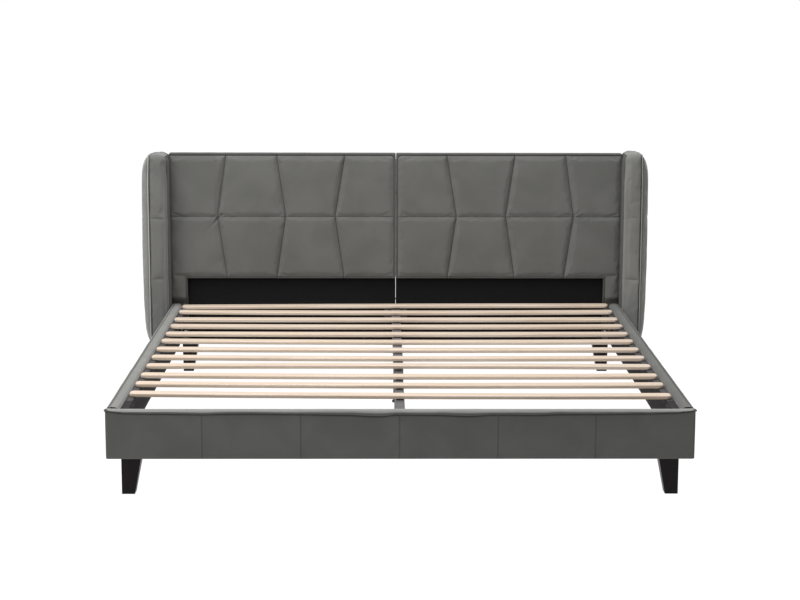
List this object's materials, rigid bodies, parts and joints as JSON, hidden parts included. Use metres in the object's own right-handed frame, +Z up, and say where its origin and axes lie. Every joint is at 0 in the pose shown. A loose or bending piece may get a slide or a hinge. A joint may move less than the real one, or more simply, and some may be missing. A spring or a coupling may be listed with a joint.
{
  "type": "wingback bed",
  "caption": "Padded bed with a tufted headboard between side wings, upholstered rails, wooden slats over a telescoping centre rail, tapered legs and levelling centre feet.",
  "frame": {"origin": "on the floor, under the middle of the bed's overall length and width", "axes": "+X to the right as seen from the foot end, +Y from the foot end to the headboard, +Z up"},
  "size_m": [2.252, 2.172, 1.018],
  "materials": {
    "zinc": "zinc plated",
    "leg_steel": "satin black powder coat",
    "tube_grey": "satin powder coat",
    "pine": "planed, unfinished",
    "velvet_grey": "soft matt velvet with a directional sheen",
    "lining_black": "matt non-woven cloth",
    "hardboard": "board covered in matt black cloth",
    "board_black": "board covered in matt black cloth",
    "leg_black": "satin black lacquer",
    "foot_plastic": "moulded, matt",
    "birch": "smooth unlacquered veneer with fine grain",
    "webbing": "woven tape"
  },
  "bodies": {
    "bed": {"bracket_screws": "zinc", "centre_bracket_foot": "zinc", "centre_bracket_head": "zinc", "centre_leg_front": "leg_steel", "centre_leg_middle": "leg_steel", "centre_leg_rear": "leg_steel", "centre_rail_front": "tube_grey", "centre_rail_rear": "tube_grey", "corner_block_left": "pine", "corner_block_right": "pine", "foot_rail_board": "pine", "foot_rail_cover": "velvet_grey", "foot_rail_lining": "lining_black", "headboard_back_left": "hardboard", "headboard_back_right": "hardboard", "headboard_board_left": "board_black", "headboard_board_right": "board_black", "headboard_bolts": "zinc", "headboard_frame_left": "pine", "headboard_frame_right": "pine", "headboard_pad_left": "velvet_grey", "headboard_pad_right": "velvet_grey", "ledger_screws": "zinc", "leg_bolts": "zinc", "leg_front_left": "leg_black", "leg_front_right": "leg_black", "leg_rear_left": "leg_black", "leg_rear_right": "leg_black", "rail_angle_left": "zinc", "rail_angle_right": "zinc", "rail_bolts": "zinc", "side_ledger_left": "pine", "side_ledger_right": "pine", "side_rail_board_left": "pine", "side_rail_board_right": "pine", "side_rail_cover_left": "velvet_grey", "side_rail_cover_right": "velvet_grey", "side_rail_lining_left": "lining_black", "side_rail_lining_right": "lining_black", "slat_01": "birch", "slat_02": "birch", "slat_03": "birch", "slat_04": "birch", "slat_05": "birch", "slat_06": "birch", "slat_07": "birch", "slat_08": "birch", "slat_09": "birch", "slat_10": "birch", "slat_11": "birch", "slat_12": "birch", "slat_webbing_left": "webbing", "slat_webbing_right": "webbing", "wing_cover_left": "velvet_grey", "wing_cover_right": "velvet_grey", "wing_frame_left": "pine", "wing_frame_right": "pine"},
    "front_foot": {"levelling_foot_front": "foot_plastic"},
    "middle_foot": {"levelling_foot_middle": "foot_plastic"},
    "rear_foot": {"levelling_foot_rear": "foot_plastic"}
  },
  "joints": [
    {"name": "front_foot_slide", "type": "slide", "parent": "bed", "child": "front_foot", "axis": [0, 0, -1], "range_m": [0, 0.015]},
    {"name": "middle_foot_slide", "type": "slide", "parent": "bed", "child": "middle_foot", "axis": [0, 0, -1], "range_m": [0, 0.015]},
    {"name": "rear_foot_slide", "type": "slide", "parent": "bed", "child": "rear_foot", "axis": [0, 0, -1], "range_m": [0, 0.015]}
  ]
}
